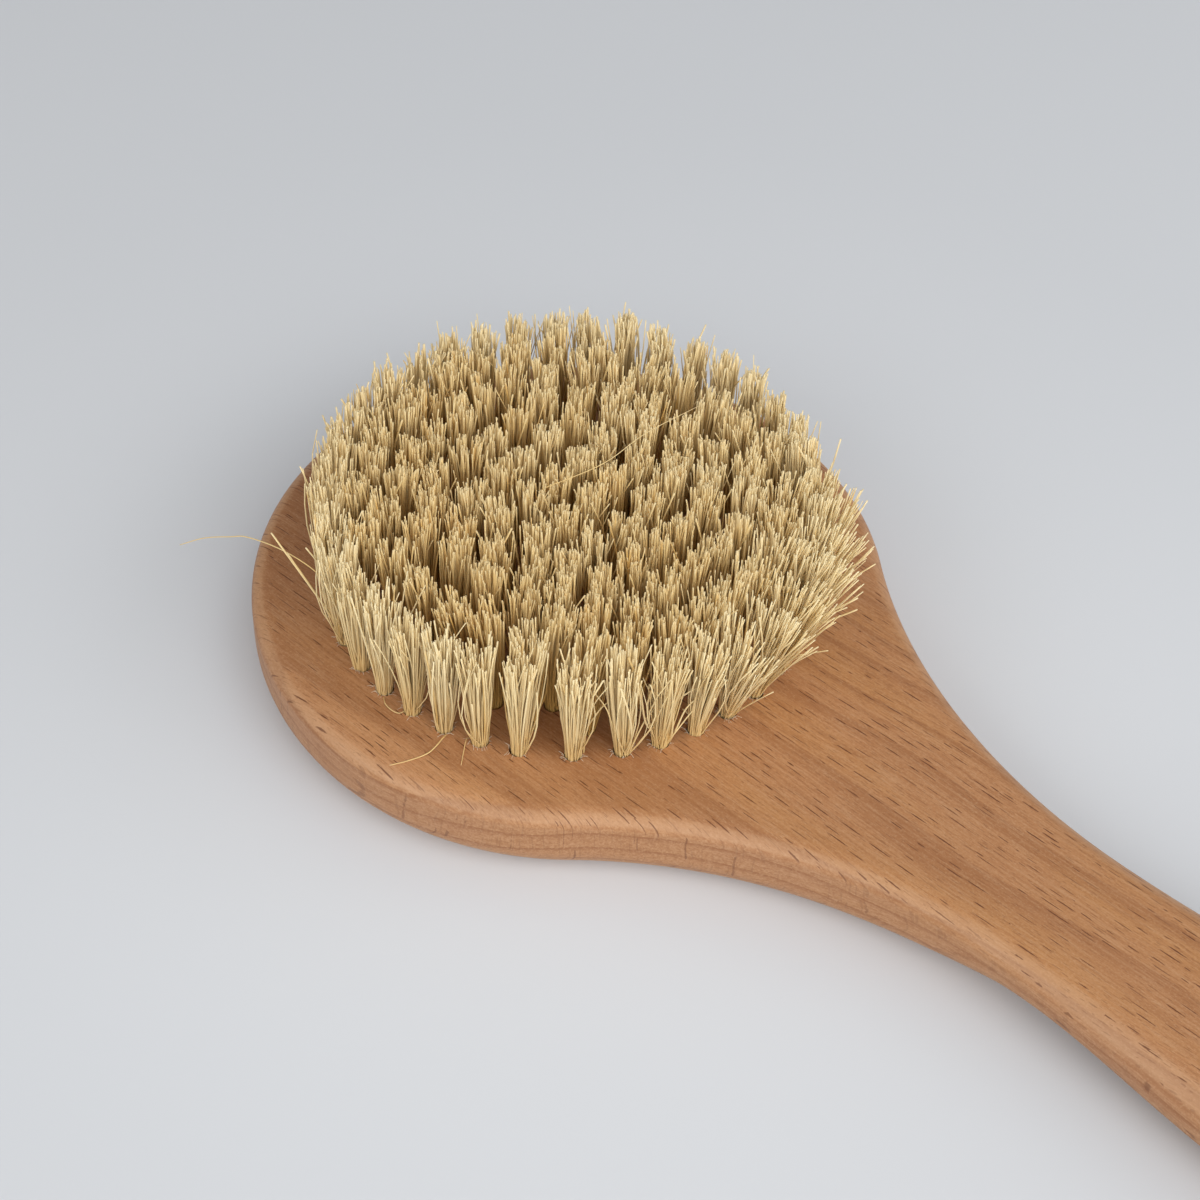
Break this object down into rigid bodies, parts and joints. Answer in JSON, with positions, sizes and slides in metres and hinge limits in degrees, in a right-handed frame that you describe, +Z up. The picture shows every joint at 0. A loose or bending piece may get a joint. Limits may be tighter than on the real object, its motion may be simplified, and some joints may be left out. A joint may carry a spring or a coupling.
{
  "type": "bath brush",
  "caption": "Long-handled bath and body brush: a round flat beech head with upright tufts of plant fibre, and a slim bowed handle with a hanging hole.",
  "frame": {"origin": "centre of the head's flat back face, on the surface that the brush lies on", "axes": "+X along the handle to its tail, +Z up out of the bristle face, +Y to the left of the handle seen from the head"},
  "size_m": [0.4, 0.102, 0.0356],
  "materials": {
    "beech": "fine sanded, oiled",
    "plant_fibre": "stiff pale plant fibre, cut square"
  },
  "bodies": {
    "root": {"brush_body": "beech", "tuft_ring_01": "plant_fibre", "tuft_ring_02": "plant_fibre", "tuft_ring_03": "plant_fibre", "tuft_ring_04": "plant_fibre", "tuft_ring_05": "plant_fibre", "tuft_ring_06": "plant_fibre", "tuft_ring_07": "plant_fibre", "tuft_ring_08": "plant_fibre", "tuft_ring_09": "plant_fibre", "tuft_ring_10": "plant_fibre", "tuft_ring_11": "plant_fibre", "tuft_ring_12": "plant_fibre", "tuft_ring_13": "plant_fibre", "tuft_row_01": "plant_fibre", "tuft_row_02": "plant_fibre", "tuft_row_03": "plant_fibre", "tuft_row_04": "plant_fibre", "tuft_row_05": "plant_fibre", "tuft_row_06": "plant_fibre", "tuft_row_07": "plant_fibre", "tuft_row_08": "plant_fibre", "tuft_row_09": "plant_fibre", "tuft_row_10": "plant_fibre", "tuft_row_11": "plant_fibre"}
  },
  "joints": []
}
